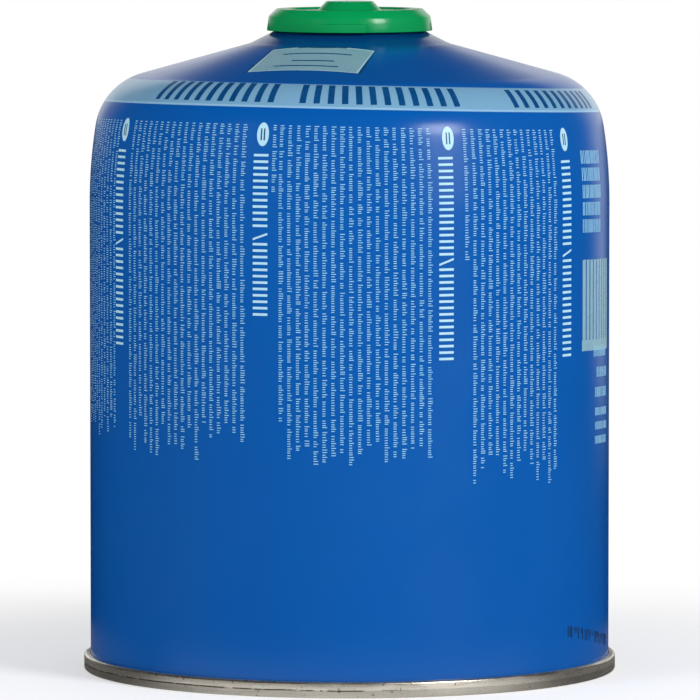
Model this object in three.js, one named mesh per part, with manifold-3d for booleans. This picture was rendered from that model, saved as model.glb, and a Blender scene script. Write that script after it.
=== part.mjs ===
// A valved gas fuel canister with its moulded cap on, standing on its base seam.
// Millimetres, +Z up, origin in the middle of the plane that it stands on, front towards -Y.
import * as THREE from "three";
import { mergeVertices } from "three/addons/utils/BufferGeometryUtils.js";
import Module from "manifold-3d";

const wasm = await Module();
wasm.setup();

// Drawn steel shell: a straight wall, a slow haunch, a tight shoulder and a coned dome
const BODY_RADIUS = 53.65;
const SHELL_WALL = 0.45;
const WALL_TOP = 96.5;
const HAUNCH_RADIUS = 102;
const HAUNCH_SWEEP = 9.1;
const SHOULDER_RADIUS = 13;
const DOME_SLOPE = 15.5;
const COLLAR_RADIUS = 20.5;
const COLLAR_SLOPE = 27;
const COLLAR_BLEND = 9;

// Mouth of the shell, rolled outwards into a bead
const MOUTH_RADIUS = 12.7;
const BEAD_WIDTH = 1.9;
const BEAD_HEIGHT = 1.6;
const NECK_RADIUS = 13.9;

// Pressed base end, rolled round the foot of the shell in a double seam
const SEAM_STEP = 1.35;
const SEAM_HEIGHT = 3.3;
const SEAM_ROUND = 0.5;
const END_WALL = 0.45;
const HOOK_LENGTH = 2.3;
const HOOK_CLEARANCE = 0.12;
const COUNTERSINK = 4.4;
const COUNTERSINK_BEND = 1.3;
const BASE_DOME_RADIUS = 190;

// Mounting cup crimped into the mouth
const CUP_WALL = 0.4;
const CUP_DEPTH = 6.2;
const CUP_BEND = 0.8;
const CLINCH_SWELL = 0.35;
const CLINCH_DEPTH = 3.6;
const CLINCH_SPREAD = 0.6;
const PEDESTAL_RADIUS = 5.6;
const PEDESTAL_HEIGHT = 4.9;
const SOCKET_RADIUS = 2.1;

// Rubber seal and valve housing, held in the pedestal
const GASKET_THICKNESS = 1.1;
const GASKET_BORE = 1.5;
const HOUSING_TAIL = 2.4;
const PORT_RADIUS = 1;
const PORT_DEPTH = 1.6;

// Moulded cap, snapped over the rim of the cup
const CAP_SKIRT_WALL = 1.45;
const CAP_DRAFT = 0.35;
const CAP_TOP_WALL = 1.15;
const CAP_SKIRT_DROP = 0.5;
const CHAMFER_WIDTH = 1.6;
const CHAMFER_HEIGHT = 1.5;
const RIM_WIDTH = 2.2;
const RECESS_DEPTH = 0.35;
const BOSS_FOOT_RADIUS = 6.5;
const BOSS_TOP_RADIUS = 4.9;
const BOSS_HEIGHT = 1.9;
const BOSS_WALL = 1;
const SNAP_BEAD = 0.2;
const SNAP_SPREAD = 0.5;

// Finger lip at the foot of the cap: it grows round the front and ends in a step
const LIP_PROUD = 0.55;
const LIP_HEIGHT = 1.7;
const LIP_SWEEP = 62;
const LIP_STEP_ANGLE = 11.5;

// Running clearance between two seated pieces
const CLEARANCE = 0.3;

// Facets round the turn: the wide pieces, and the small ones in the middle
const WIDE_TURN = 56;
const NARROW_TURN = 32;

const QUARTER = 90;
const radians = THREE.MathUtils.degToRad;

// Points of an arc about a centre, from one angle to another, in degrees from the +R direction
function arc(centreR, centreZ, radius, from, to, steps) {
  const points = [];
  for (let i = 0; i <= steps; i += 1) {
    const angle = radians(from + ((to - from) * i) / steps);
    points.push([centreR + radius * Math.cos(angle), centreZ + radius * Math.sin(angle)]);
  }
  return points;
}

// Turns a section about the vertical axis: [radius, height] corners, anticlockwise
function turned(section, facets) {
  const corners = section.map(([r, z]) => new THREE.Vector2(r, z));
  const touchesAxis = section[0][0] === 0;
  if (!touchesAxis) corners.push(corners[0].clone());
  const lathe = new THREE.LatheGeometry(corners, facets);
  lathe.rotateX(Math.PI / 2);
  return lathe;
}

// A closed geometry as a solid that can be cut and joined
function solid(geometry) {
  const bare = geometry.clone();
  bare.deleteAttribute("normal");
  bare.deleteAttribute("uv");
  const merged = mergeVertices(bare, 1e-4);
  return new wasm.Manifold(
    new wasm.Mesh({
      numProp: 3,
      vertProperties: new Float32Array(merged.attributes.position.array),
      triVerts: new Uint32Array(merged.index.array),
    })
  );
}

// A cut or joined solid back as a geometry
function drawn(body) {
  const mesh = body.getMesh();
  const geometry = new THREE.BufferGeometry();
  geometry.setAttribute("position", new THREE.BufferAttribute(mesh.vertProperties, 3));
  geometry.setIndex(new THREE.BufferAttribute(mesh.triVerts, 1));
  geometry.computeVertexNormals();
  return geometry;
}

// Outer line of the shell, from the top of its wall up to the foot of the neck
function domeLine() {
  const haunch = arc(BODY_RADIUS - HAUNCH_RADIUS, WALL_TOP, HAUNCH_RADIUS, 0, HAUNCH_SWEEP, 4);
  const [haunchR, haunchZ] = haunch[haunch.length - 1];
  const turn = radians(HAUNCH_SWEEP);
  const centreR = haunchR - SHOULDER_RADIUS * Math.cos(turn);
  const centreZ = haunchZ - SHOULDER_RADIUS * Math.sin(turn);
  const shoulder = arc(centreR, centreZ, SHOULDER_RADIUS, HAUNCH_SWEEP, QUARTER - DOME_SLOPE, 7);
  const [coneR, coneZ] = shoulder[shoulder.length - 1];
  const collarZ = coneZ + (coneR - COLLAR_RADIUS) * Math.tan(radians(DOME_SLOPE));
  const neckZ = collarZ + (COLLAR_RADIUS - NECK_RADIUS) * Math.tan(radians(COLLAR_SLOPE));
  const cone = radians(DOME_SLOPE);
  const reach = COLLAR_BLEND * Math.tan(radians((COLLAR_SLOPE - DOME_SLOPE) / 2)) * Math.cos(cone);
  const blendR = COLLAR_RADIUS + reach + COLLAR_BLEND * Math.sin(cone);
  const blendZ = collarZ - reach * Math.tan(cone) + COLLAR_BLEND * Math.cos(cone);
  const blend = arc(blendR, blendZ, COLLAR_BLEND, -QUARTER - DOME_SLOPE, -QUARTER - COLLAR_SLOPE, 2);
  return [...haunch, ...shoulder.slice(1), ...blend, [NECK_RADIUS, neckZ]];
}

// Sizes that the shell, the cup, the valve and the cap share at the mouth
const dome = domeLine();
const neckFootZ = dome[dome.length - 1][1];
const beadRadius = BEAD_WIDTH / 2;
const beadMiddle = MOUTH_RADIUS + beadRadius;
const beadMiddleZ = neckFootZ + BEAD_HEIGHT - beadRadius;
const cupOverBead = beadRadius + CLEARANCE + CUP_WALL;
const cupTopZ = beadMiddleZ + cupOverBead;
const cupRimRadius = beadMiddle + cupOverBead;
const cupBore = beadMiddle - cupOverBead;
const domeUnderRim = neckFootZ - (cupRimRadius - CUP_WALL - NECK_RADIUS) * Math.tan(radians(COLLAR_SLOPE));
const cupRimZ = domeUnderRim + CLEARANCE;
const cupFloorZ = cupTopZ - CUP_DEPTH;
const pedestalTopZ = cupFloorZ + PEDESTAL_HEIGHT;
const clinchZ = cupTopZ - CLINCH_DEPTH;
const seatRadius = PEDESTAL_RADIUS - CUP_WALL - CLEARANCE;
const gasketTopZ = pedestalTopZ - CUP_WALL - CLEARANCE;
const housingTopZ = gasketTopZ - GASKET_THICKNESS - CLEARANCE;
const housingFootZ = cupFloorZ - HOUSING_TAIL;
const skirtInner = cupRimRadius + CLEARANCE;
const capRadius = skirtInner + CAP_SKIRT_WALL;

// Sizes that the shell and the base end share at the seam
const hookInner = BODY_RADIUS - SHELL_WALL;
const hookFootZ = SEAM_HEIGHT - HOOK_LENGTH;
const chuckOuter = hookInner - HOOK_CLEARANCE;
const chuckInner = chuckOuter - END_WALL;
const panelBendR = chuckInner - COUNTERSINK_BEND;
const panelBendZ = COUNTERSINK - COUNTERSINK_BEND;
const panelAngle = THREE.MathUtils.radToDeg(Math.asin(panelBendR / (BASE_DOME_RADIUS - COUNTERSINK_BEND)));
const panelCentreZ = panelBendZ - (BASE_DOME_RADIUS - COUNTERSINK_BEND) * Math.cos(radians(panelAngle));

// Line of the base panel at a height above its lower face: from the axis, out and round its bend
function panelLine(offset, outermost) {
  const bendRadius = COUNTERSINK_BEND + offset;
  const reach = Math.min(1, (outermost - panelBendR) / bendRadius);
  const stop = THREE.MathUtils.radToDeg(Math.acos(reach));
  const panel = arc(0, panelCentreZ, BASE_DOME_RADIUS + offset, QUARTER, QUARTER - panelAngle, 5);
  const bend = arc(panelBendR, panelBendZ, bendRadius, QUARTER - panelAngle, stop, 3);
  panel[0][0] = 0;
  return [...panel, ...bend.slice(1)];
}

// Line of the cup's well at a depth behind the face that meets the air: down its bore to its floor
function wellLine(offset) {
  const bore = cupBore + offset;
  return [
    [bore, clinchZ + 2 * CLINCH_SPREAD],
    [bore + CLINCH_SWELL, clinchZ + CLINCH_SPREAD],
    [bore + CLINCH_SWELL, clinchZ - CLINCH_SPREAD],
    [bore, clinchZ - 2 * CLINCH_SPREAD],
    ...arc(cupBore - CUP_BEND, cupFloorZ + CUP_BEND, CUP_BEND + offset, 0, -QUARTER, 2),
  ];
}

// Line of the cup's pedestal at the same depth: from its floor up to the socket
function pedestalLine(offset) {
  return [
    ...arc(PEDESTAL_RADIUS + CUP_BEND, cupFloorZ + CUP_BEND, CUP_BEND + offset, -QUARTER, -2 * QUARTER, 2),
    ...arc(PEDESTAL_RADIUS - CUP_BEND, pedestalTopZ - CUP_BEND, CUP_BEND - offset, 0, QUARTER, 2),
    [SOCKET_RADIUS, pedestalTopZ - offset],
  ];
}

// The shell with its sealed contents: hooked into the seam below, rolled to a bead at the mouth
function canShell() {
  const behindCup = CUP_WALL + CLEARANCE;
  const pocketRadius = seatRadius + CLEARANCE;
  return turned(
    [
      ...panelLine(END_WALL + CLEARANCE, hookInner),
      [hookInner, hookFootZ],
      [BODY_RADIUS, hookFootZ],
      ...dome,
      [NECK_RADIUS, beadMiddleZ],
      ...arc(beadMiddle, beadMiddleZ, beadRadius, 0, 2 * QUARTER, 4),
      ...wellLine(behindCup),
      [pocketRadius, cupFloorZ - behindCup],
      [pocketRadius, housingFootZ - CLEARANCE],
      [0, housingFootZ - CLEARANCE],
    ],
    WIDE_TURN
  );
}

// The base end: a concave panel, its chuck wall, the ring it stands on and the rolled seam
function baseEnd() {
  const seamRadius = BODY_RADIUS + SEAM_STEP;
  const grooveOuter = BODY_RADIUS + HOOK_CLEARANCE;
  const grooveZ = hookFootZ - HOOK_CLEARANCE;
  const upperFace = panelLine(END_WALL, chuckOuter);
  return turned(
    [
      ...panelLine(0, chuckInner),
      ...arc(chuckInner + SEAM_ROUND, SEAM_ROUND, SEAM_ROUND, 2 * QUARTER, 3 * QUARTER, 2),
      ...arc(seamRadius - SEAM_ROUND, SEAM_ROUND, SEAM_ROUND, -QUARTER, 0, 2),
      ...arc(seamRadius - SEAM_ROUND, SEAM_HEIGHT - SEAM_ROUND, SEAM_ROUND, 0, QUARTER, 2),
      [grooveOuter, SEAM_HEIGHT],
      [grooveOuter, grooveZ],
      [chuckOuter, grooveZ],
      ...upperFace.reverse(),
    ],
    WIDE_TURN
  );
}

// The mounting cup: rolled over the bead, clinched under it, and drawn up to a pedestal
function valveCup() {
  const airFace = [
    [cupRimRadius, cupRimZ],
    ...arc(beadMiddle, beadMiddleZ, cupOverBead, 0, 2 * QUARTER, 6),
    ...wellLine(0),
    ...pedestalLine(0),
  ];
  const backFace = [
    [cupRimRadius - CUP_WALL, cupRimZ],
    ...arc(beadMiddle, beadMiddleZ, cupOverBead - CUP_WALL, 0, 2 * QUARTER, 6),
    ...wellLine(CUP_WALL),
    ...pedestalLine(CUP_WALL),
  ];
  return turned([...airFace, ...backFace.reverse()], NARROW_TURN);
}

// The rubber washer that seals round the burner's stem
function valveGasket() {
  const foot = gasketTopZ - GASKET_THICKNESS;
  return turned(
    [
      [GASKET_BORE, foot],
      [seatRadius, foot],
      [seatRadius, gasketTopZ],
      [GASKET_BORE, gasketTopZ],
    ],
    NARROW_TURN
  );
}

// The valve housing below the washer, with the port that the stem enters
function valveHousing() {
  return turned(
    [
      [0, housingFootZ],
      [seatRadius, housingFootZ],
      [seatRadius, housingTopZ],
      [PORT_RADIUS, housingTopZ],
      [PORT_RADIUS, housingTopZ - PORT_DEPTH],
      [0, housingTopZ - PORT_DEPTH],
    ],
    NARROW_TURN
  );
}

// The finger lip: an offset ring at the foot of the cap, cut to the stretch where it stands proud
function fingerLip(footZ, innerRadius) {
  const shift = LIP_PROUD / (1 - Math.cos(radians(LIP_SWEEP)));
  const radius = capRadius + LIP_PROUD - shift;
  const ring = turned(
    [
      [innerRadius, footZ],
      [radius, footZ],
      [radius - CAP_DRAFT, footZ + LIP_HEIGHT],
      [innerRadius, footZ + LIP_HEIGHT],
    ],
    NARROW_TURN
  );
  const stepAngle = radians(LIP_STEP_ANGLE - QUARTER);
  ring.translate(shift * Math.cos(stepAngle), shift * Math.sin(stepAngle), 0);
  const reach = 2 * capRadius;
  const stretch = new THREE.Shape();
  stretch.moveTo(0, 0);
  stretch.absarc(0, 0, reach, stepAngle - radians(LIP_SWEEP), stepAngle, false);
  stretch.closePath();
  const wedge = new THREE.ExtrudeGeometry(stretch, { depth: 2 * LIP_HEIGHT, bevelEnabled: false });
  wedge.translate(0, 0, footZ - LIP_HEIGHT / 2);
  return solid(ring).intersect(solid(wedge));
}

// The cap: a drafted skirt, a chamfered rim, a shallow recess and a hollow boss in the middle
function cap() {
  const ceilingZ = cupTopZ + CLEARANCE;
  const topZ = ceilingZ + CAP_TOP_WALL;
  const footZ = cupRimZ - CAP_SKIRT_DROP;
  const wallTopRadius = capRadius - CAP_DRAFT;
  const rimOuter = wallTopRadius - CHAMFER_WIDTH;
  const rimInner = rimOuter - RIM_WIDTH;
  const recessZ = topZ - RECESS_DEPTH;
  const bossTopZ = recessZ + BOSS_HEIGHT;
  const snapZ = (footZ + beadMiddleZ) / 2;
  const body = turned(
    [
      [0, bossTopZ - BOSS_WALL],
      [BOSS_TOP_RADIUS - BOSS_WALL, bossTopZ - BOSS_WALL],
      [BOSS_FOOT_RADIUS - BOSS_WALL, ceilingZ],
      [skirtInner, ceilingZ],
      [skirtInner, snapZ + SNAP_SPREAD],
      [skirtInner - SNAP_BEAD, snapZ],
      [skirtInner, snapZ - SNAP_SPREAD],
      [skirtInner, footZ],
      [capRadius, footZ],
      [wallTopRadius, topZ - CHAMFER_HEIGHT],
      [rimOuter, topZ],
      [rimInner, topZ],
      [rimInner - RECESS_DEPTH, recessZ],
      [BOSS_FOOT_RADIUS, recessZ],
      [BOSS_TOP_RADIUS, bossTopZ],
      [0, bossTopZ],
    ],
    NARROW_TURN
  );
  const insideWall = (skirtInner + wallTopRadius) / 2;
  return drawn(solid(body).add(fingerLip(footZ, insideWall)));
}

const paintedSteel = new THREE.MeshStandardMaterial({ color: "#014f9c", roughness: 0.25, metalness: 0.1 });
const bareTinplate = new THREE.MeshStandardMaterial({ color: "#bdb3a4", roughness: 0.35, metalness: 0.9 });
const blackRubber = new THREE.MeshStandardMaterial({ color: "#1b1b1c", roughness: 0.8, metalness: 0 });
const paleAcetal = new THREE.MeshStandardMaterial({ color: "#e6e4dc", roughness: 0.45, metalness: 0 });
const greenPlastic = new THREE.MeshStandardMaterial({ color: "#049a52", roughness: 0.35, metalness: 0 });

const pieces = [
  ["can_shell", canShell(), paintedSteel],
  ["base_end", baseEnd(), bareTinplate],
  ["valve_cup", valveCup(), bareTinplate],
  ["valve_gasket", valveGasket(), blackRubber],
  ["valve_housing", valveHousing(), paleAcetal],
  ["cap", cap(), greenPlastic],
];

const canister = new THREE.Group();
for (const [name, geometry, material] of pieces) {
  const mesh = new THREE.Mesh(geometry, material);
  mesh.name = name;
  canister.add(mesh);
}

export default canister;
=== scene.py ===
import math
import random

import bmesh
import bpy
from mathutils import Matrix, Vector


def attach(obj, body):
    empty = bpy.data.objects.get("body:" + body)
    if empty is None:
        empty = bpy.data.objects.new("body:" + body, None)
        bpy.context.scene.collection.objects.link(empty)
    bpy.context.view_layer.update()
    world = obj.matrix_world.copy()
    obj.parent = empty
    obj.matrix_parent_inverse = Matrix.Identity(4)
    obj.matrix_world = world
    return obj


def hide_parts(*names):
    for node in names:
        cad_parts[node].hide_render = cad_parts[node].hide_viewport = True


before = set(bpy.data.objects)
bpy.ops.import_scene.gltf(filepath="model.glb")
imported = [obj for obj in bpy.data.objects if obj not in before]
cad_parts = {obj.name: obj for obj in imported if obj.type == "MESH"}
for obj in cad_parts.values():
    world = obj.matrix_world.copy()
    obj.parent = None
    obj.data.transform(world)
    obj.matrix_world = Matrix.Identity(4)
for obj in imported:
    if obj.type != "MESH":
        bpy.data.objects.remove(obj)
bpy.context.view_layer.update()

MM = 0.001

# Sizes of the canister, in millimetres and degrees, as its frame has them
BODY_RADIUS = 53.65
SHELL_WALL = 0.45
WALL_TOP = 96.5
HAUNCH_RADIUS = 102
HAUNCH_SWEEP = 9.1
SHOULDER_RADIUS = 13
DOME_SLOPE = 15.5
COLLAR_RADIUS = 20.5
COLLAR_SLOPE = 27
COLLAR_BLEND = 9
MOUTH_RADIUS = 12.7
BEAD_WIDTH = 1.9
BEAD_HEIGHT = 1.6
NECK_RADIUS = 13.9
SEAM_STEP = 1.35
SEAM_HEIGHT = 3.3
SEAM_ROUND = 0.5
END_WALL = 0.45
HOOK_LENGTH = 2.3
HOOK_CLEARANCE = 0.12
COUNTERSINK = 4.4
COUNTERSINK_BEND = 1.3
BASE_DOME_RADIUS = 190
CLEARANCE = 0.3
CUP_WALL = 0.4
CUP_DEPTH = 6.2
HOUSING_TAIL = 2.4
PEDESTAL_RADIUS = 5.6
CAP_SKIRT_WALL = 1.45
CAP_DRAFT = 0.35
CAP_TOP_WALL = 1.15
CAP_SKIRT_DROP = 0.5
CAP_EDGE = 0.12
CHAMFER_WIDTH = 1.6
CHAMFER_HEIGHT = 1.5
RIM_WIDTH = 2.2
RECESS_DEPTH = 0.35
BOSS_FOOT_RADIUS = 6.5
BOSS_TOP_RADIUS = 4.9
BOSS_HEIGHT = 1.9
BOSS_WALL = 1
LIP_PROUD = 0.55
LIP_HEIGHT = 1.7
LIP_EDGE = 0.08
LIP_SWEEP = 62
LIP_STEP_ANGLE = 11.5

# Fineness of the turned pieces: steps round the axis, and steps along each stretch of a section
WIDE_STEPS = 256
CAP_STEPS = 360
WALL_STEPS = 24
HAUNCH_STEPS = 14
SHOULDER_STEPS = 26
COLLAR_STEPS = 5
BEAD_STEPS = 10
PANEL_STEPS = 24
BEND_STEPS = 6
SEAM_STEPS = 6
MERGE_DISTANCE = 0.004
SMOOTH_UNDER = 32
CAP_SMOOTH_UNDER = 24


def arc(centre_r, centre_z, radius, start, end, steps):
    """Points of an arc in a section, with its angles in degrees from the outward direction."""
    points = []
    for i in range(steps + 1):
        angle = math.radians(start + (end - start) * i / steps)
        points.append((centre_r + radius * math.cos(angle), centre_z + radius * math.sin(angle)))
    return points


def dome_line():
    """The shell's outer line, from the top of its straight wall to the foot of its neck."""
    haunch = arc(BODY_RADIUS - HAUNCH_RADIUS, WALL_TOP, HAUNCH_RADIUS, 0, HAUNCH_SWEEP, HAUNCH_STEPS)
    haunch_r, haunch_z = haunch[-1]
    turn = math.radians(HAUNCH_SWEEP)
    centre_r = haunch_r - SHOULDER_RADIUS * math.cos(turn)
    centre_z = haunch_z - SHOULDER_RADIUS * math.sin(turn)
    shoulder = arc(
        centre_r, centre_z, SHOULDER_RADIUS, HAUNCH_SWEEP, 90 - DOME_SLOPE, SHOULDER_STEPS
    )
    cone_r, cone_z = shoulder[-1]
    collar_z = cone_z + (cone_r - COLLAR_RADIUS) * math.tan(math.radians(DOME_SLOPE))
    neck_z = collar_z + (COLLAR_RADIUS - NECK_RADIUS) * math.tan(math.radians(COLLAR_SLOPE))
    half_turn = math.radians((COLLAR_SLOPE - DOME_SLOPE) / 2)
    reach = COLLAR_BLEND * math.tan(half_turn) * math.cos(math.radians(DOME_SLOPE))
    before_r = COLLAR_RADIUS + reach
    before_z = collar_z - reach * math.tan(math.radians(DOME_SLOPE))
    blend_r = before_r + COLLAR_BLEND * math.sin(math.radians(DOME_SLOPE))
    blend_z = before_z + COLLAR_BLEND * math.cos(math.radians(DOME_SLOPE))
    blend = arc(
        blend_r, blend_z, COLLAR_BLEND, -90 - DOME_SLOPE, -90 - COLLAR_SLOPE, COLLAR_STEPS
    )
    return haunch + shoulder[1:] + blend + [(NECK_RADIUS, neck_z)]


# Places worked out from the sizes above
DOME = dome_line()
NECK_FOOT = DOME[-1][1]
BEAD_RADIUS = BEAD_WIDTH / 2
BEAD_MIDDLE = MOUTH_RADIUS + BEAD_RADIUS
BEAD_MIDDLE_Z = NECK_FOOT + BEAD_HEIGHT - BEAD_RADIUS
CUP_OVER_BEAD = BEAD_RADIUS + CLEARANCE + CUP_WALL
CUP_TOP = BEAD_MIDDLE_Z + CUP_OVER_BEAD
CUP_RIM_RADIUS = BEAD_MIDDLE + CUP_OVER_BEAD
CUP_RIM = (
    NECK_FOOT
    - (CUP_RIM_RADIUS - CUP_WALL - NECK_RADIUS) * math.tan(math.radians(COLLAR_SLOPE))
    + CLEARANCE
)
CUP_FLOOR = CUP_TOP - CUP_DEPTH
HOOK_INNER = BODY_RADIUS - SHELL_WALL
HOOK_FOOT = SEAM_HEIGHT - HOOK_LENGTH
CHUCK_OUTER = HOOK_INNER - HOOK_CLEARANCE
CHUCK_INNER = CHUCK_OUTER - END_WALL
SKIRT_INNER = CUP_RIM_RADIUS + CLEARANCE
CAP_RADIUS = SKIRT_INNER + CAP_SKIRT_WALL
CAP_TOP = CUP_TOP + CLEARANCE + CAP_TOP_WALL
CAP_FOOT = CUP_RIM - CAP_SKIRT_DROP


def panel_line(offset, outermost):
    """The base panel's line at a height above its lower face, from the axis out and round."""
    bend_r = CHUCK_INNER - COUNTERSINK_BEND
    bend_z = COUNTERSINK - COUNTERSINK_BEND
    reach = BASE_DOME_RADIUS - COUNTERSINK_BEND
    angle = math.degrees(math.asin(bend_r / reach))
    centre_z = bend_z - reach * math.cos(math.radians(angle))
    bend_radius = COUNTERSINK_BEND + offset
    stop = math.degrees(math.acos(min(1, (outermost - bend_r) / bend_radius)))
    panel = arc(0, centre_z, BASE_DOME_RADIUS + offset, 90, 90 - angle, PANEL_STEPS)
    bend = arc(bend_r, bend_z, bend_radius, 90 - angle, stop, BEND_STEPS)
    return panel + bend[1:]


def spun_mesh(section, steps):
    """A bmesh turned about the vertical axis from a section of (radius, height) in millimetres."""
    form = bmesh.new()
    corners = [form.verts.new((r * MM, 0, z * MM)) for r, z in section]
    for first, second in zip(corners, corners[1:]):
        form.edges.new((first, second))
    bmesh.ops.spin(
        form,
        geom=form.verts[:] + form.edges[:],
        cent=(0, 0, 0),
        axis=(0, 0, 1),
        angle=2 * math.pi,
        steps=steps,
        use_merge=True,
    )
    bmesh.ops.remove_doubles(form, verts=form.verts, dist=MERGE_DISTANCE * MM)
    bmesh.ops.recalc_face_normals(form, faces=form.faces)
    return form


def finished(form, name, material, smooth_under=SMOOTH_UNDER):
    """A bmesh as a piece of the canister: shaded, painted and riding on its one body."""
    mesh = bpy.data.meshes.new(name)
    form.to_mesh(mesh)
    form.free()
    mesh.shade_smooth()
    mesh.set_sharp_from_angle(angle=math.radians(smooth_under))
    mesh.materials.append(material)
    piece = bpy.data.objects.new(name, mesh)
    bpy.context.scene.collection.objects.link(piece)
    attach(piece, "root")
    return piece


# Between these two values lies most of a noise pattern
NOISE_LOW = 0.3
NOISE_HIGH = 0.7


class Nodes:
    """A node tree in the making, with the coordinates that its patterns read."""

    def __init__(self, tree, coordinates):
        self.tree = tree
        self.tree.nodes.clear()
        self.place = self.add("ShaderNodeTexCoord").outputs[coordinates]

    def add(self, kind, **settings):
        node = self.tree.nodes.new(kind)
        for key, value in settings.items():
            setattr(node, key, value)
        return node

    def feed(self, socket, value):
        """Link a socket to an output, or set it to a plain value."""
        if isinstance(value, bpy.types.NodeSocket):
            self.tree.links.new(value, socket)
        else:
            socket.default_value = value

    def math(self, operation, first, second=0.0):
        node = self.add("ShaderNodeMath", operation=operation)
        self.feed(node.inputs[0], first)
        self.feed(node.inputs[1], second)
        return node.outputs[0]

    def axis(self, name):
        node = self.add("ShaderNodeSeparateXYZ")
        self.feed(node.inputs[0], self.place)
        return node.outputs[name]

    def length(self, vector):
        node = self.add("ShaderNodeVectorMath", operation="LENGTH")
        self.feed(node.inputs[0], vector)
        return node.outputs["Value"]

    def from_axis(self):
        """The distance from the canister's upright axis."""
        level = self.add("ShaderNodeVectorMath", operation="MULTIPLY")
        self.feed(level.inputs[0], self.place)
        level.inputs[1].default_value = (1, 1, 0)
        return self.length(level.outputs[0])

    def noise(self, scale, detail=3.0, roughness=0.5, stretch=(1, 1, 1)):
        mapping = self.add("ShaderNodeMapping")
        self.feed(mapping.inputs["Vector"], self.place)
        mapping.inputs["Scale"].default_value = stretch
        node = self.add("ShaderNodeTexNoise")
        self.feed(node.inputs["Vector"], mapping.outputs["Vector"])
        node.inputs["Scale"].default_value = scale
        node.inputs["Detail"].default_value = detail
        node.inputs["Roughness"].default_value = roughness
        return node.outputs["Fac"]

    def ranged(self, value, low, high, out_low=0.0, out_high=1.0):
        """A soft ramp from one value to another, as the input goes from low to high."""
        node = self.add("ShaderNodeMapRange", interpolation_type="SMOOTHSTEP")
        self.feed(node.inputs["Value"], value)
        node.inputs["From Min"].default_value = low
        node.inputs["From Max"].default_value = high
        node.inputs["To Min"].default_value = out_low
        node.inputs["To Max"].default_value = out_high
        return node.outputs["Result"]

    def spread(self, noise, low, high):
        """A noise pattern spread between two values."""
        return self.ranged(noise, NOISE_LOW, NOISE_HIGH, low, high)

    def between(self, value, low, high, soft):
        """One where a value lies between two limits and nought outside them, with soft edges."""
        rise = self.ranged(value, low - soft, low + soft)
        fall = self.ranged(value, high - soft, high + soft, 1.0, 0.0)
        return self.math("MULTIPLY", rise, fall)

    def mix(self, factor, first, second):
        """A colour between two colours."""
        node = self.add("ShaderNodeMix", data_type="RGBA")
        self.feed(node.inputs[0], factor)
        self.feed(node.inputs[6], first)
        self.feed(node.inputs[7], second)
        return node.outputs[2]

    def choose_value(self, factor, first, second):
        """A number between two numbers."""
        node = self.add("ShaderNodeMix", data_type="FLOAT")
        self.feed(node.inputs[0], factor)
        self.feed(node.inputs[2], first)
        self.feed(node.inputs[3], second)
        return node.outputs[0]

    def choose_shader(self, factor, first, second):
        """A surface between two surfaces."""
        node = self.add("ShaderNodeMixShader")
        self.feed(node.inputs["Fac"], factor)
        self.feed(node.inputs[1], first)
        self.feed(node.inputs[2], second)
        return node.outputs[0]

    def glow(self, strength):
        node = self.add("ShaderNodeEmission")
        self.feed(node.inputs["Strength"], strength)
        return node.outputs[0]

    def seen_directly(self):
        """One for what the camera sees, also through clear pieces, and nought for the rest."""
        path = self.add("ShaderNodeLightPath")
        return self.math(
            "MAXIMUM", path.outputs["Is Camera Ray"], path.outputs["Is Transmission Ray"]
        )

    def seen_in_gloss(self):
        """One for what a gloss mirrors, and nought for the rest."""
        return self.add("ShaderNodeLightPath").outputs["Is Glossy Ray"]


class Finish(Nodes):
    """A node material in the making, read in object space."""

    def __init__(self, name):
        self.material = bpy.data.materials.new(name)
        self.material.use_nodes = True
        super().__init__(self.material.node_tree, "Object")
        self.shader = self.add("ShaderNodeBsdfPrincipled")
        self.output = self.add("ShaderNodeOutputMaterial")
        self.feed(self.output.inputs["Surface"], self.shader.outputs["BSDF"])

    def set(self, **values):
        for key, value in values.items():
            self.feed(self.shader.inputs[key.replace("_", " ")], value)

    def bump(self, height, strength, distance):
        node = self.add("ShaderNodeBump")
        self.feed(node.inputs["Height"], height)
        node.inputs["Strength"].default_value = strength
        node.inputs["Distance"].default_value = distance
        self.feed(self.shader.inputs["Normal"], node.outputs["Normal"])


# The print runs slightly askew: it stands highest at one angle and falls away from there
PRINT_LEAN = 2.0
PRINT_HIGH_ANGLE = -35
BAND_TOP = 123.1
BAND_FOOT = 118.35
BAND_EDGE = 0.4
BAND_BLUR = 0.08
BAND_EDGE_BLUR = 0.1
# The painted shade of the cap on the collar is full at the first distance from the axis and gone at the
# second, in millimetres
CAP_SHADE_FULL_RADIUS = 18
CAP_SHADE_END_RADIUS = 25


def print_level(finish):
    """The height in the print's own askew frame, in metres."""
    lean = PRINT_LEAN / BODY_RADIUS
    high = math.radians(PRINT_HIGH_ANGLE)
    across = finish.math("MULTIPLY", finish.axis("X"), -lean * math.sin(high))
    along = finish.math("MULTIPLY", finish.axis("Y"), lean * math.cos(high))
    height = finish.math("ADD", finish.axis("Z"), finish.math("ADD", across, along))
    return finish.math("ADD", height, PRINT_LEAN * MM)


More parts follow.
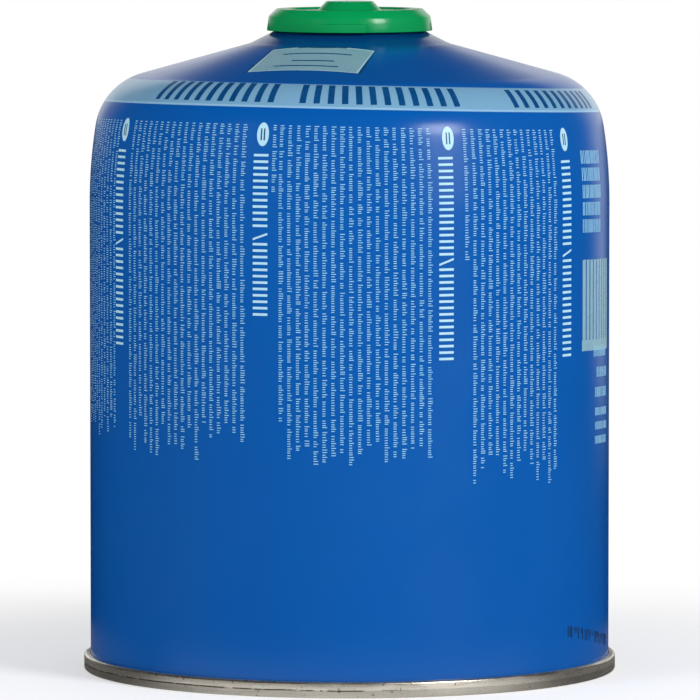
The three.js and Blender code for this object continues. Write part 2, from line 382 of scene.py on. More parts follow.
def blue_lacquer():
    """Glossy blue lacquer over drawn steel, with painted shade of the cap darkening the collar, and the
    pale printed band.
    """
    finish = Finish("blue_lacquer")
    deep = (0.0002, 0.083, 0.355, 1)
    bright = (0.0003, 0.097, 0.405, 1)
    painted_shade_blue = (0.0002, 0.032, 0.110, 1)
    # Painted shade: the collar right under the cap is darkened towards deep navy, standing in for the cap's
    # shadow
    cap_shade = finish.ranged(
        finish.from_axis(), CAP_SHADE_FULL_RADIUS * MM, CAP_SHADE_END_RADIUS * MM, 0.75, 0.0
    )
    blue = finish.mix(cap_shade, finish.mix(finish.noise(22), deep, bright), painted_shade_blue)
    level = print_level(finish)
    foot = BAND_FOOT * MM
    band = finish.between(level, foot, BAND_TOP * MM, BAND_BLUR * MM)
    edge = finish.between(level, foot, (BAND_FOOT + BAND_EDGE) * MM, BAND_EDGE_BLUR * MM)
    field = finish.mix(finish.noise(60, 2), (0.15, 0.33, 0.51, 1), (0.19, 0.39, 0.58, 1))
    ink = finish.mix(edge, field, (0.26, 0.48, 0.70, 1))
    finish.set(Base_Color=finish.mix(band, blue, ink))
    finish.set(Roughness=finish.ranged(finish.noise(40), NOISE_LOW, 0.75, 0.19, 0.25))
    finish.set(Specular_IOR_Level=0.27)
    finish.bump(finish.noise(300, 2, 0.4), 0.03, 0.04 * MM)
    return finish.material


def mottled(name, scale, first, second, roughness, detail=3, specular=0.5):
    """A finish whose colour and gloss vary together, between two ends and at one scale."""
    finish = Finish(name)
    mottle = finish.noise(scale, detail)
    finish.set(Base_Color=finish.mix(mottle, first, second))
    finish.set(Roughness=finish.spread(mottle, *roughness))
    finish.set(Specular_IOR_Level=specular)
    return finish.material


def print_ink(name, scale, thin, thick, roughness=(0.26, 0.34), specular=0.25):
    """A printing ink that lies a little unevenly."""
    return mottled(name, scale, thin, thick, roughness, specular=specular)


def pale_ink():
    """Thin pale blue ink of the small print."""
    return print_ink("pale_print_ink", 420, (0.20, 0.50, 0.72, 1), (0.34, 0.64, 0.82, 1))


def bright_ink():
    """Thicker and paler ink of the heavy bars and the badges."""
    return print_ink("bright_print_ink", 300, (0.36, 0.64, 0.80, 1), (0.46, 0.74, 0.86, 1))


def field_ink():
    """Greyish pale ink that fills the patch and the striped field."""
    return print_ink("field_print_ink", 160, (0.20, 0.38, 0.48, 1), (0.27, 0.46, 0.56, 1))


def deep_ink():
    """Deep blue ink that stands on the pale band and fields."""
    thin = (0.001, 0.045, 0.16, 1)
    thick = (0.002, 0.075, 0.24, 1)
    return print_ink("deep_blue_print_ink", 260, thin, thick, roughness=(0.22, 0.3))


def dark_ink():
    """Near-black ink of the filling mark, duller than the rest."""
    thin = (0.002, 0.010, 0.035, 1)
    thick = (0.004, 0.03, 0.09, 1)
    return print_ink("dark_print_ink", 900, thin, thick, roughness=(0.36, 0.44), specular=0.5)


# In millimetres: the heights where the lower fold ends and where the scuffed line runs, how soft
# and wandering that line is, and the places to the right where it starts to fade and is faint
FOLD_TOP = 1.75
SCUFF_FOOT = 1.72
SCUFF_TOP = 1.95
SCUFF_BLUR = 0.07
SCUFF_WANDER = 0.5
SCUFF_FADES = 2
SCUFF_FAINT = 14


def tinplate():
    """Bright rolled tinplate: rolling lines, dull specks, a scuffed line and a darker lower fold."""
    finish = Finish("rolled_tinplate")
    lines = finish.noise(140, 4, 0.6, (1, 1, 14))
    specks = finish.ranged(finish.noise(900, 4, 0.7), 0.60, 0.72)
    bright = finish.mix(finish.noise(70), (0.66, 0.60, 0.50, 1), (0.86, 0.82, 0.74, 1))
    # The seam's lower fold is darker than the rest of the seam
    darker_fold = finish.mix(finish.noise(55, 2), (0.36, 0.34, 0.30, 1), (0.64, 0.60, 0.53, 1))
    wander = finish.math("MULTIPLY", finish.noise(60), SCUFF_WANDER * MM)
    level = finish.math("ADD", finish.axis("Z"), wander)
    folded = finish.mix(finish.ranged(level, FOLD_TOP * MM, SCUFF_TOP * MM), darker_fold, bright)
    dull = finish.mix(specks, folded, (0.16, 0.12, 0.08, 1))
    line = finish.between(level, SCUFF_FOOT * MM, SCUFF_TOP * MM, SCUFF_BLUR * MM)
    broken = finish.ranged(finish.noise(330, 4, 0.65), 0.38, 0.50)
    side = finish.ranged(finish.axis("X"), SCUFF_FADES * MM, SCUFF_FAINT * MM, 1.0, 0.15)
    scuff = finish.math("MULTIPLY", finish.math("MULTIPLY", line, broken), side)
    finish.set(Base_Color=finish.mix(scuff, dull, (0.07, 0.045, 0.025, 1)))
    finish.set(Metallic=0.95)
    finish.set(Roughness=finish.spread(lines, 0.22, 0.42))
    finish.bump(lines, 0.12, 0.05 * MM)
    return finish.material


def green_plastic():
    """Semi-gloss moulded green plastic with faint flow marks and a fine grain."""
    finish = Finish("moulded_green_plastic")
    flow = finish.noise(90, 3, 0.5, (1, 1, 0.35))
    green = finish.mix(flow, (0.0004, 0.260, 0.070, 1), (0.0008, 0.340, 0.096, 1))
    finish.set(Base_Color=green)
    finish.set(Roughness=finish.spread(finish.noise(500, 4, 0.6), 0.17, 0.24))
    finish.set(Specular_IOR_Level=0.34)
    finish.bump(finish.noise(1400), 0.05, 0.04 * MM)
    return finish.material


def seal_rubber():
    """Matt black seal rubber."""
    black = (0.008, 0.008, 0.008, 1)
    dusty = (0.02, 0.02, 0.02, 1)
    return mottled("black_seal_rubber", 1500, black, dusty, (0.7, 0.85), detail=4)


def housing_plastic():
    """Pale moulded housing plastic."""
    warm = (0.68, 0.66, 0.58, 1)
    pale = (0.78, 0.76, 0.70, 1)
    return mottled("pale_housing_plastic", 800, warm, pale, (0.4, 0.55), detail=4)


BLUE = blue_lacquer()
PALE_INK = pale_ink()
BRIGHT_INK = bright_ink()
FIELD_INK = field_ink()
DEEP_INK = deep_ink()
DARK_INK = dark_ink()
TIN = tinplate()
GREEN = green_plastic()
RUBBER = seal_rubber()
PALE = housing_plastic()


def can_shell():
    """The lacquered shell with its sealed contents, hooked into the seam and beaded at its mouth."""
    well_floor = CUP_FLOOR - CUP_WALL - CLEARANCE
    pocket_floor = CUP_FLOOR - HOUSING_TAIL - CLEARANCE
    pocket = PEDESTAL_RADIUS - CUP_WALL
    wall_rise = WALL_TOP - HOOK_FOOT
    section = panel_line(END_WALL + CLEARANCE, HOOK_INNER)
    section += [(HOOK_INNER, HOOK_FOOT), (BODY_RADIUS, HOOK_FOOT)]
    section += [(BODY_RADIUS, HOOK_FOOT + wall_rise * i / WALL_STEPS) for i in range(1, WALL_STEPS)]
    section += DOME + [(NECK_RADIUS, BEAD_MIDDLE_Z)]
    section += arc(BEAD_MIDDLE, BEAD_MIDDLE_Z, BEAD_RADIUS, 0, 180, BEAD_STEPS)
    section += [(MOUTH_RADIUS, well_floor), (pocket, well_floor)]
    section += [(pocket, pocket_floor), (0, pocket_floor)]
    piece = finished(spun_mesh(section, WIDE_STEPS), "lacquered_shell", BLUE)
    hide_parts("can_shell")


def base_end():
    """The tinplate base: concave panel, chuck wall, the ring it stands on and the rolled seam."""
    ring_inner = CHUCK_INNER + SEAM_ROUND
    ring_outer = BODY_RADIUS + SEAM_STEP - SEAM_ROUND
    ring_top = SEAM_HEIGHT - SEAM_ROUND
    groove_outer = BODY_RADIUS + HOOK_CLEARANCE
    groove = HOOK_FOOT - HOOK_CLEARANCE
    section = panel_line(0, CHUCK_INNER)
    section += arc(ring_inner, SEAM_ROUND, SEAM_ROUND, 180, 270, SEAM_STEPS)
    section += arc(ring_outer, SEAM_ROUND, SEAM_ROUND, -90, 0, SEAM_STEPS)
    section += arc(ring_outer, ring_top, SEAM_ROUND, 0, 90, SEAM_STEPS)
    section += [(groove_outer, SEAM_HEIGHT), (groove_outer, groove), (CHUCK_OUTER, groove)]
    section += reversed(panel_line(END_WALL, CHUCK_OUTER))
    piece = finished(spun_mesh(section, WIDE_STEPS), "rolled_base", TIN)
    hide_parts("base_end")


def lip_proud(angle):
    """How far the finger lip stands out of the cap at an angle from the front, in millimetres."""
    from_step = LIP_STEP_ANGLE - angle
    if not 0 <= from_step <= LIP_SWEEP:
        return 0
    fall = 1 - math.cos(math.radians(LIP_SWEEP))
    return LIP_PROUD * (math.cos(math.radians(from_step)) - 1 + fall) / fall


def cap_section():
    """The cap's section, from under its boss down round the skirt and back up over the top."""
    wall_top = CAP_RADIUS - CAP_DRAFT
    chamfer_foot = CAP_TOP - CHAMFER_HEIGHT
    rim_outer = wall_top - CHAMFER_WIDTH
    rim_inner = rim_outer - RIM_WIDTH
    recess = CAP_TOP - RECESS_DEPTH
    boss_top = recess + BOSS_HEIGHT
    boss_ceiling = boss_top - BOSS_WALL
    ceiling = CUP_TOP + CLEARANCE
    lip_top = CAP_FOOT + LIP_HEIGHT
    skirt_slope = CAP_DRAFT / (chamfer_foot - CAP_FOOT)
    return [
        (0, boss_ceiling),
        (BOSS_TOP_RADIUS - BOSS_WALL, boss_ceiling),
        (BOSS_FOOT_RADIUS - BOSS_WALL, ceiling),
        (SKIRT_INNER, ceiling),
        (SKIRT_INNER, CAP_FOOT),
        (CAP_RADIUS - CAP_EDGE, CAP_FOOT),
        (CAP_RADIUS - 0.3 * CAP_EDGE, CAP_FOOT + 0.3 * CAP_EDGE),
        (CAP_RADIUS - CAP_EDGE * skirt_slope, CAP_FOOT + CAP_EDGE),
        (CAP_RADIUS - (lip_top - CAP_FOOT) * skirt_slope, lip_top),
        (CAP_RADIUS - (lip_top - CAP_FOOT + LIP_EDGE) * skirt_slope, lip_top + LIP_EDGE),
        (wall_top, chamfer_foot - CAP_EDGE),
        (wall_top - 0.5 * CAP_EDGE, chamfer_foot),
        (wall_top - CAP_EDGE, chamfer_foot + CAP_EDGE),
        (rim_outer + CAP_EDGE, CAP_TOP - CAP_EDGE),
        (rim_outer, CAP_TOP - 0.2 * CAP_EDGE),
        (rim_outer - CAP_EDGE, CAP_TOP),
        (rim_inner + CAP_EDGE, CAP_TOP),
        (rim_inner, CAP_TOP - 0.3 * CAP_EDGE),
        (rim_inner - RECESS_DEPTH, recess),
        (BOSS_FOOT_RADIUS + CAP_EDGE, recess),
        (BOSS_FOOT_RADIUS, recess + CAP_EDGE),
        (BOSS_TOP_RADIUS + 0.5 * CAP_EDGE, boss_top - CAP_EDGE),
        (BOSS_TOP_RADIUS - CAP_EDGE, boss_top),
        (0, boss_top),
    ]


def cap():
    """The moulded cap: a drafted skirt with its finger lip, a chamfered rim, a recess and a boss."""
    form = spun_mesh(cap_section(), CAP_STEPS)
    inside_wall = SKIRT_INNER + CAP_SKIRT_WALL / 2
    above_lip = CAP_FOOT + LIP_HEIGHT + LIP_EDGE / 4
    for corner in form.verts:
        radius = math.hypot(corner.co.x, corner.co.y) / MM
        height = corner.co.z / MM
        if radius < inside_wall or height > above_lip:
            continue
        proud = lip_proud(math.degrees(math.atan2(corner.co.x, -corner.co.y)))
        grown = (radius + proud) / radius
        corner.co.x *= grown
        corner.co.y *= grown
    piece = finished(form, "moulded_cap", GREEN, CAP_SMOOTH_UNDER)
    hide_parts("cap")


def shell_radius(height):
    """The shell's outer radius at a height, in millimetres."""
    line = [(BODY_RADIUS, HOOK_FOOT)] + DOME
    for (r0, z0), (r1, z1) in zip(line, line[1:]):
        if z0 <= height <= z1:
            return r0 + (r1 - r0) * (height - z0) / (z1 - z0)
    return NECK_RADIUS


def shell_lean(height):
    """The shell's outward direction at a height, as its shares outward and up."""
    reach = 0.25
    inward = shell_radius(height - reach) - shell_radius(height + reach)
    length = math.hypot(2 * reach, inward)
    return 2 * reach / length, inward / length


def print_height(angle, height):
    """The true height of a printed mark, with the print's lean taken in."""
    return height - PRINT_LEAN * (1 - math.cos(math.radians(angle - PRINT_HIGH_ANGLE)))


def on_shell(angle, height, proud):
    """A place over the shell at an angle and a true height, standing proud of it."""
    outward, upward = shell_lean(height)
    radius = shell_radius(height) + proud * outward
    turn = math.radians(angle)
    across = radius * math.sin(turn)
    return Vector((across, -radius * math.cos(turn), height + proud * upward)) * MM


# A layer of ink stands this far out of the shell, reaches this far into it to close on itself,
# and each further layer stands a little more proud
INK_PROUD = 0.03
INK_SUNK = 0.12
INK_LAYER = 0.01


def join(form, addition):
    """Add a small bmesh to a larger one."""
    mesh = bpy.data.meshes.new("addition")
    addition.to_mesh(mesh)
    addition.free()
    form.from_mesh(mesh)
    bpy.data.meshes.remove(mesh)


def flat_bar(width, length, across=1, up=1):
    """A flat bar in millimetres about its middle, in as many faces across and up as asked."""
    flat = bmesh.new()
    bmesh.ops.create_grid(flat, x_segments=across, y_segments=up, size=0.5)
    for corner in flat.verts:
        corner.co.x *= width
        corner.co.y *= length
    return flat


def flat_oval(half_wide, half_high):
    """A flat oval in millimetres about its middle, as a grid drawn in to a round outline."""
    flat = flat_bar(2, 2, across=10, up=16)
    for corner in flat.verts:
        across, up = corner.co.x, corner.co.y
        corner.co.x = half_wide * across * math.sqrt(1 - up * up / 2)
        corner.co.y = half_high * up * math.sqrt(1 - across * across / 2)
    return flat


def around(angle, height):
    """Lay a flat shape round a middle on the wall, with the print's lean."""
    level = print_height(angle, height)

    def place(across, up):
        return angle + math.degrees(across / shell_radius(level + up)), level + up

    return place


def on_cone(left_foot, right_foot, right_top, left_top):
    """Lay a unit square on the coned top between four corners, straight-edged as seen from above."""
    plans = []
    for angle, height in (left_foot, right_foot, right_top, left_top):
        turn = math.radians(angle)
        plans.append(Vector((math.sin(turn), -math.cos(turn))) * shell_radius(height))
    foot_height = left_foot[1]
    foot_radius = shell_radius(foot_height)
    slope = math.tan(math.radians(DOME_SLOPE))

    def place(across, up):
        foot = plans[0].lerp(plans[1], across + 0.5)
        top = plans[3].lerp(plans[2], across + 0.5)
        plan = foot.lerp(top, up + 0.5)
        height = foot_height + (foot_radius - plan.length) * slope
        return math.degrees(math.atan2(plan.x, -plan.y)), height

    return place


def press(form, flat, place, proud=INK_PROUD):
    """Press a flat shape onto the shell as a thin layer of ink, following its curve."""
    raised = bmesh.ops.extrude_face_region(flat, geom=flat.faces[:])["geom"]
    tops = {corner for corner in raised if isinstance(corner, bmesh.types.BMVert)}
    for corner in flat.verts:
        angle, height = place(corner.co.x, corner.co.y)
        corner.co = on_shell(angle, height, proud if corner in tops else -INK_SUNK)
    bmesh.ops.recalc_face_normals(flat, faces=flat.faces)
    join(form, flat)


def tick(form, angle, height, width, length):
    """One small straight stroke of ink on the wall, its width round it and its length up it."""
    true_height = print_height(angle, height)
    outward, upward = shell_lean(true_height)
    place = (
        Matrix.Rotation(math.radians(angle), 4, "Z")
        @ Matrix.Translation(Vector((0, -shell_radius(true_height), true_height)) * MM)
        @ Matrix.Rotation(-math.atan2(upward, outward), 4, "X")
        @ Matrix.Translation(Vector((0, (INK_SUNK - INK_PROUD) / 2, 0)) * MM)
        @ Matrix.Diagonal(Vector((width, INK_PROUD + INK_SUNK, length, 1 / MM)) * MM)
    )
    bmesh.ops.create_cube(form, size=1, matrix=place)


# The small print: its lines are a few degrees apart, and its ticks stand in groups up each line
LINE_PITCH = 1.905
PRINT_TOP = 114.7
TICK_WIDTH = 1.0
TICK_SHARES = (0.62, 0.62, 0.7, 0.95)
TICK_STROKE = 0.17
TICK_PITCH = 0.46
TICK_PITCH_SPREAD = (0.85, 1.2)
GROUP_TICKS = (3, 15)
GROUP_GAP = (0.45, 0.6)


def small_line(form, draw, angle, top, foot):
    """A line of small print up the wall, as groups of plain ticks that spell nothing."""
    line = bmesh.new()
    height = top
    while height > foot:
        for _ in range(draw.randint(*GROUP_TICKS)):
            if height < foot:
                break
            wide = TICK_WIDTH * draw.choice(TICK_SHARES)
            shift = math.degrees((TICK_WIDTH - wide) / 2 / BODY_RADIUS)
            tick(line, angle - shift, height, wide, TICK_STROKE)
            height -= TICK_PITCH * draw.uniform(*TICK_PITCH_SPREAD)
        height -= draw.uniform(*GROUP_GAP)
    join(form, line)


def small_print(name, seed, first, lines, feet):
    """A block of lines side by side from a first angle, each with a ragged foot between two heights."""
    draw = random.Random(seed)
    form = bmesh.new()
    for i in range(lines):
        small_line(form, draw, first + i * LINE_PITCH, PRINT_TOP, draw.uniform(*feet))
    finished(form, name, PALE_INK)


HEADING_WIDTH = 3.1
HEADING_STROKE = 0.5
HEADING_PITCH = 1.28
SLASH_STROKE = 0.42
SLASH_SLOPE = 0.36


def heading(name, angle, top, foot, slash):
    """A heading up the wall: plain heavy bars, with one slanted bar where its two words part."""
    form = bmesh.new()
    proud = INK_PROUD + INK_LAYER
    height = top - HEADING_STROKE / 2
    while height > foot:
        if abs(height - slash) < HEADING_PITCH:
            height = slash - HEADING_PITCH - HEADING_STROKE / 2
            continue
        bar = flat_bar(HEADING_WIDTH, HEADING_STROKE, across=6)
        press(form, bar, around(angle, height), proud)
        height -= HEADING_PITCH
    slanted = flat_bar(HEADING_WIDTH, SLASH_STROKE, across=6)
    for corner in slanted.verts:
        corner.co.y += corner.co.x * SLASH_SLOPE
    press(form, slanted, around(angle, slash), proud)
    finished(form, name, BRIGHT_INK)


BADGE_HEIGHT = 112.9
BADGE_HALF_WIDE = 1.25
BADGE_HALF_HIGH = 2.35
BADGE_BAR_STROKE = 0.28
BADGE_BAR_ASIDE = 0.32


def badge(name, angle):
    """A small filled oval with two plain deep blue bars in it."""
    field = bmesh.new()
    press(field, flat_oval(BADGE_HALF_WIDE, BADGE_HALF_HIGH), around(angle, BADGE_HEIGHT))
    finished(field, name, BRIGHT_INK)
    bars = bmesh.new()
    for aside in (-BADGE_BAR_ASIDE, BADGE_BAR_ASIDE):
        stroke = flat_bar(BADGE_BAR_STROKE, BADGE_HALF_HIGH, up=4)
        bmesh.ops.translate(stroke, vec=(aside, 0, 0), verts=stroke.verts)
        press(bars, stroke, around(angle, BADGE_HEIGHT), INK_PROUD + 2 * INK_LAYER)
    finished(bars, name + "_bars", DEEP_INK)


def wall_print():
    """The print on the wall: four columns of small print, each with a badge and a heading."""
    small_print("print_column_far_left", seed=11, first=-82.0, lines=11, feet=(50, 55))
    small_print("print_column_left", seed=12, first=-55.9, lines=18, feet=(46, 55))
    small_print("print_column_middle", seed=13, first=-12.9, lines=17, feet=(47, 51.5))
    small_print("print_column_right", seed=14, first=28.1, lines=13, feet=(43, 50))
    small_print("print_column_middle_start", seed=15, first=-16.4, lines=1, feet=(101, 101.5))
    small_print("print_column_middle_second", seed=16, first=-14.8, lines=1, feet=(55, 56))
    small_print("print_column_right_start", seed=17, first=26.1, lines=1, feet=(88, 89))
    heading("print_heading_far_left", angle=-60.6, top=108.9, foot=69.3, slash=90.2)
    heading("print_heading_left", angle=-19.5, top=109.0, foot=75.8, slash=92.5)
    heading("print_heading_middle", angle=21.2, top=109.2, foot=68.1, slash=88.2)
    heading("print_heading_right", angle=55.2, top=108.7, foot=68.8, slash=89.9)
    badge("print_badge_far_left", angle=-60.2)
    badge("print_badge_left", angle=-19.3)
    badge("print_badge_middle", angle=22.0)
    badge("print_badge_right", angle=55.5)


BAND_BAR_WIDTH = 1.25
BAND_BAR_PITCH = 2.75
BAND_BAR_MARGINS = 0.9
BAND_BAR_RUNS = ((-52, -16), (-11, 26), (42, 76))


def band_bars():
    """Plain heavy bars in deep blue on the pale band, in three runs."""
    form = bmesh.new()
    middle = (BAND_FOOT + BAND_EDGE + BAND_TOP) / 2
    length = BAND_TOP - BAND_FOOT - BAND_EDGE - BAND_BAR_MARGINS
    pitch = math.degrees(BAND_BAR_PITCH / shell_radius(middle))
    for start, end in BAND_BAR_RUNS:
        for i in range(int((end - start) / pitch) + 1):
            bar = flat_bar(BAND_BAR_WIDTH, length, across=2, up=8)
            press(form, bar, around(start + i * pitch, middle), INK_PROUD + 2 * INK_LAYER)
    finished(form, "print_band_bars", DEEP_INK)


STRIPE_LEFT = 61.8
STRIPE_RIGHT = 80.0
STRIPE_TOP = 88.4
STRIPE_FOOT = 72.0
STRIPE_BASE = 2.2
STRIPE_COUNT = 9
STRIPE_SHARE = 0.74


def striped_field():
    """A pale field of plain upright stripes over a solid foot, at the right of the print."""
    form = bmesh.new()
    pitch = (STRIPE_RIGHT - STRIPE_LEFT) / STRIPE_COUNT
    width = math.radians(pitch) * BODY_RADIUS
    middle = (STRIPE_TOP + STRIPE_FOOT) / 2
    for i in range(STRIPE_COUNT):
        angle = STRIPE_LEFT + (i + 0.5) * pitch
        stripe = flat_bar(width * STRIPE_SHARE, STRIPE_TOP - STRIPE_FOOT, across=2)
        press(form, stripe, around(angle, middle))
        foot = flat_bar(width, STRIPE_BASE, across=2)
        press(form, foot, around(angle, STRIPE_FOOT - STRIPE_BASE / 2))
    finished(form, "print_striped_field", FIELD_INK)


FINE_STROKE = 0.3
SIDE_PITCHES = (0.62, 0.62, 0.8)

# Rows of side ticks: the middle height, the first and last angle, and the ticks' length
UPPER_ROWS = [(109.3 - 3.5 * i, 62.3, 73.0, 2.7) for i in range(5)]
MIDDLE_ROWS = [(69.6, 68.5, 78.0, 2.2), (65.3, 70.5, 79.0, 2.0), (61.2, 69.5, 79.0, 2.0)]
LOWER_ROWS = [(57.2 - 2.9 * i, 69.5, 79.0, 1.6) for i in range(3)]


def side_ticks():
    """Short rows of tall plain ticks above and below the striped field."""
    draw = random.Random(51)
    form = bmesh.new()
    for height, left, right, tall in UPPER_ROWS + MIDDLE_ROWS + LOWER_ROWS:
        angle = left
        while angle < right:
            tick(form, angle, height, FINE_STROKE, tall)
            angle += math.degrees(draw.choice(SIDE_PITCHES) / BODY_RADIUS)
    finished(form, "print_side_ticks", PALE_INK)


MARK_LEFT = 56.0
MARK_RIGHT = 79.5
MARK_LEFT_HEIGHT = 12.8
MARK_RIGHT_HEIGHT = 9.6
MARK_TALL = 2.3
MARK_SHARES = (1.0, 1.0, 0.5)
MARK_PITCHES = (0.55, 0.8, 1.25)


def filling_mark():
    """The filling mark near the foot, as one askew row of dark ticks that say nothing."""
    draw = random.Random(41)
    form = bmesh.new()
    angle = MARK_LEFT
    while angle < MARK_RIGHT:
        share = (angle - MARK_LEFT) / (MARK_RIGHT - MARK_LEFT)
        height = MARK_LEFT_HEIGHT + (MARK_RIGHT_HEIGHT - MARK_LEFT_HEIGHT) * share
        length = MARK_TALL * draw.choice(MARK_SHARES)
        tick(form, angle, height + (MARK_TALL - length) / 2, FINE_STROKE, length)
        angle += math.degrees(draw.choice(MARK_PITCHES) / BODY_RADIUS)
    finished(form, "print_filling_mark", DARK_INK)


# The patch on the coned top: its corners as angle and height, and its layers from the lowest up
PATCH_FOOT = 124.4
PATCH_TOP = 128.7
PATCH_CORNERS = (
    (-34.0, PATCH_FOOT),
    (3.4, PATCH_FOOT),
    (14.0, PATCH_TOP),
    (-43.2, PATCH_TOP),
)
BORDER_PROUD = 0.02
EDGE_INSET = 0.6
EDGE_PROUD = 0.035
FIELD_INSET = 0.95
FIELD_PROUD = 0.05
PATCH_BARS = ((127.7, -31, 1), (126.6, -23, -6), (125.6, -27, -4))
PATCH_BAR_THICK = 0.17
PATCH_BAR_PROUD = 0.065


def patch_layer(name, inset, proud, material):
    """One layer of the printed patch on the coned top, drawn in from the patch's outline."""
    rise = inset * math.sin(math.radians(DOME_SLOPE))
    inwards = ((1, 1), (-1, 1), (-1, -1), (1, -1))
    corners = []
    for (angle, height), (side, end) in zip(PATCH_CORNERS, inwards):
        turn = math.degrees(inset / shell_radius(height))
        corners.append((angle + side * turn, height + end * rise))
    form = bmesh.new()
    press(form, flat_bar(1, 1, across=28, up=6), on_cone(*corners), proud)
    finished(form, name, material)


def patch():
    """The printed patch on the coned top: a bordered pale field with plain bars across it."""
    patch_layer("print_patch_border", 0, BORDER_PROUD, DEEP_INK)
    patch_layer("print_patch_edge", EDGE_INSET, EDGE_PROUD, BRIGHT_INK)
    patch_layer("print_patch_field", FIELD_INSET, FIELD_PROUD, FIELD_INK)
    form = bmesh.new()
    for foot, left, right in PATCH_BARS:
        top = foot + PATCH_BAR_THICK
        place = on_cone((left, foot), (right, foot), (right, top), (left, top))
        press(form, flat_bar(1, 1, across=16), place, PATCH_BAR_PROUD)
    finished(form, "print_patch_bars", DEEP_INK)


def valve():
    """The cup, the washer and the housing keep their own solids, with their finishes."""
    for node, material in (("valve_cup", TIN), ("valve_gasket", RUBBER), ("valve_housing", PALE)):
        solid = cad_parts[node]
        solid.data.materials.clear()
        solid.data.materials.append(material)


# The camera stands well back, a little above the canister, as the photograph's does
CAMERA_DISTANCE = 1.565
CAMERA_HEIGHT = 0.1834
CAMERA_AIM = 0.0659
CAMERA_LENS = 390.3
CAMERA_SENSOR = 36
CAMERA_SIDE_SHIFT = 0.0006


def camera():
    """The scene's camera, aimed at the canister's axis."""
    lens = bpy.data.cameras.new("camera")
    lens.lens = CAMERA_LENS
    lens.sensor_width = CAMERA_SENSOR
    lens.shift_x = CAMERA_SIDE_SHIFT
    lens.clip_start = 0.05
    lens.clip_end = 50
    viewer = bpy.data.objects.new("camera", lens)
    viewer.location = (0, -CAMERA_DISTANCE, CAMERA_HEIGHT)
    aim = Vector((0, 0, CAMERA_AIM)) - viewer.location
    viewer.rotation_euler = aim.to_track_quat("-Z", "Y").to_euler()
    bpy.context.scene.collection.objects.link(viewer)
    bpy.context.scene.camera = viewer


LIGHTS_AIM = Vector((0, 0, 0.08))


def softbox(name, place, size, watts, mirrored=True):
    """A soft rectangular studio light, seen in gloss or not."""
    lamp = bpy.data.lights.new(name, "AREA")
    lamp.shape = "RECTANGLE"
    lamp.size, lamp.size_y = size
    lamp.energy = watts
    holder = bpy.data.objects.new(name, lamp)
    holder.location = place
    holder.rotation_euler = (LIGHTS_AIM - Vector(place)).to_track_quat("-Z", "Y").to_euler()
    holder.visible_glossy = mirrored
    bpy.context.scene.collection.objects.link(holder)


ROOM_LIGHT = 0.86
ROOM_CEILING = 0.22
ROOM_FRONT = 0.015
ROOM_LEFT = 0.3


def room_in_gloss(world):
    """How bright the room is in gloss, by direction.

    White walls stand behind the canister and to both sides of its back, dimmer on the left. A dark
    ceiling opens overhead and comes down in the middle of the back wall. The front is dim, and so
    is what lies below the horizon, where the right wall reaches a little lower.
    """
    across, along, up = (world.axis(name) for name in "XYZ")
    aside = world.math("ABSOLUTE", across)
    off_overhead = world.math("DIVIDE", aside, world.math("MAXIMUM", up, 0.02))
    beside = world.math(
        "MULTIPLY", world.ranged(off_overhead, 0.25, 0.42), world.ranged(up, 0.40, 0.55, 1.0, 0.0)
    )
    walls = world.math("MAXIMUM", beside, world.ranged(up, 0.10, 0.16, 1.0, 0.0))
    behind = world.ranged(along, 0.64, 0.86)
    above = world.ranged(up, -0.03, 0.03)
    low_right = world.math(
        "MULTIPLY", world.ranged(across, 0.32, 0.52), world.ranged(up, -0.095, -0.06)
    )
    left_dimmed = world.ranged(across, -0.5, -0.25, ROOM_LEFT, 1.0)
    lit = world.math("MULTIPLY", world.math("MAXIMUM", above, low_right), walls)
    lit = world.math("MULTIPLY", world.math("MULTIPLY", lit, behind), left_dimmed)
    return world.math("MAXIMUM", lit, ROOM_FRONT)


def room():
    """The world: white where the camera looks, even light, and a studio for the gloss to mirror."""
    studio_world = bpy.data.worlds.new("studio")
    bpy.context.scene.world = studio_world
    studio_world.use_nodes = True
    world = Nodes(studio_world.node_tree, "Generated")
    light = world.ranged(world.axis("Z"), 0.2, 0.9, ROOM_LIGHT, ROOM_CEILING)
    strength = world.choose_value(world.seen_in_gloss(), light, room_in_gloss(world))
    background = world.add("ShaderNodeBackground")
    background.inputs["Color"].default_value = (1, 1, 1, 1)
    shown = world.choose_value(world.seen_directly(), strength, 1.0)
    world.feed(background.inputs["Strength"], shown)
    output = world.add("ShaderNodeOutputWorld")
    world.feed(output.inputs["Surface"], background.outputs[0])


def studio():
    """The room and its softboxes: two to the right that show in the gloss, one to the left."""
    room()
    softbox("key_light", place=(0.95, -1.0, 0.72), size=(0.43, 0.43), watts=11)
    softbox("low_light", place=(0.95, -1.0, 0.25), size=(0.48, 0.34), watts=1.1)
    softbox("fill_light", place=(-1.1, -0.9, 0.65), size=(0.6, 0.8), watts=5.5, mirrored=False)


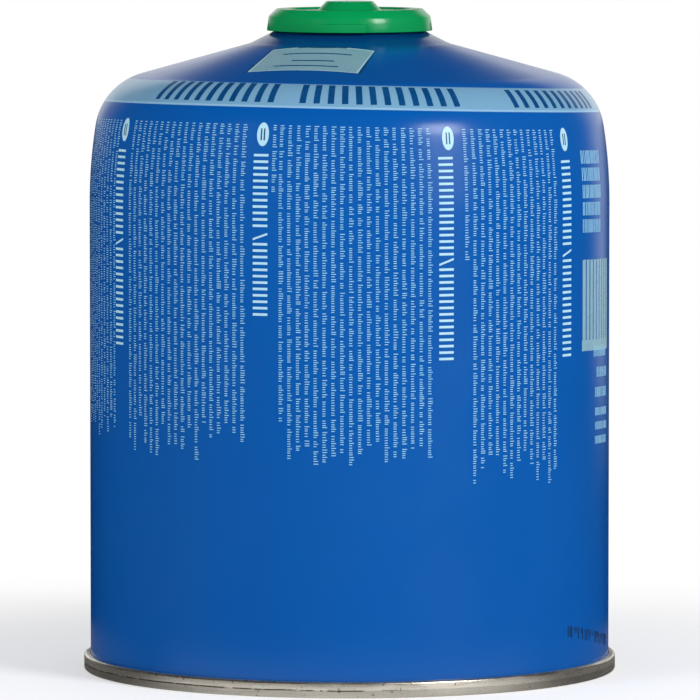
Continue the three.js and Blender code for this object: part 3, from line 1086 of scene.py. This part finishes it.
FLOOR_SIZE = 0.6
FLOOR_LIFT = 0.36
SHADOW_NEAR = 0.085
SHADOW_FAR = 0.2

# In gloss the floor is bright only in front of the seam and close to it
GLOW_FRONT = (-0.062, -0.028)
GLOW_ELSEWHERE = 0.12
GLOW_REACH = (0.095, 0.12)
GLOW_FAR = 0.03


def pale_floor():
    """A pale floor: white far off, a little lifted near the canister, and bright in gloss only in front."""
    finish = Finish("pale_floor")
    pale = finish.mix(finish.noise(3, 2), (0.86, 0.86, 0.86, 1), (0.9, 0.9, 0.9, 1))
    finish.set(Base_Color=pale)
    finish.set(Roughness=0.8, Specular_IOR_Level=0.1)
    plain = finish.shader.outputs["BSDF"]
    away = finish.length(finish.place)
    lifted = finish.add("ShaderNodeAddShader")
    finish.feed(lifted.inputs[0], plain)
    finish.feed(lifted.inputs[1], finish.glow(FLOOR_LIFT))
    far = finish.ranged(away, SHADOW_NEAR, SHADOW_FAR)
    shown = finish.choose_shader(far, lifted.outputs[0], finish.glow(1.0))
    front = finish.ranged(finish.axis("Y"), *GLOW_FRONT, 1.0, GLOW_ELSEWHERE)
    close = finish.ranged(away, *GLOW_REACH, 1.0, GLOW_FAR)
    glow = finish.glow(finish.math("MULTIPLY", front, close))
    mirrored = finish.choose_shader(finish.seen_in_gloss(), plain, glow)
    surface = finish.choose_shader(finish.seen_directly(), mirrored, shown)
    finish.feed(finish.output.inputs["Surface"], surface)
    return finish.material


def floor():
    """A white studio floor that keeps the canister's soft shadow near it."""
    form = bmesh.new()
    bmesh.ops.create_grid(form, x_segments=1, y_segments=1, size=FLOOR_SIZE)
    mesh = bpy.data.meshes.new("studio_floor")
    form.to_mesh(mesh)
    form.free()
    mesh.materials.append(pale_floor())
    plane = bpy.data.objects.new("studio_floor", mesh)
    bpy.context.scene.collection.objects.link(plane)


camera()
can_shell()
base_end()
cap()
valve()
wall_print()
band_bars()
striped_field()
side_ticks()
filling_mark()
patch()
studio()
floor()
bpy.context.scene.view_settings.view_transform = "Standard"
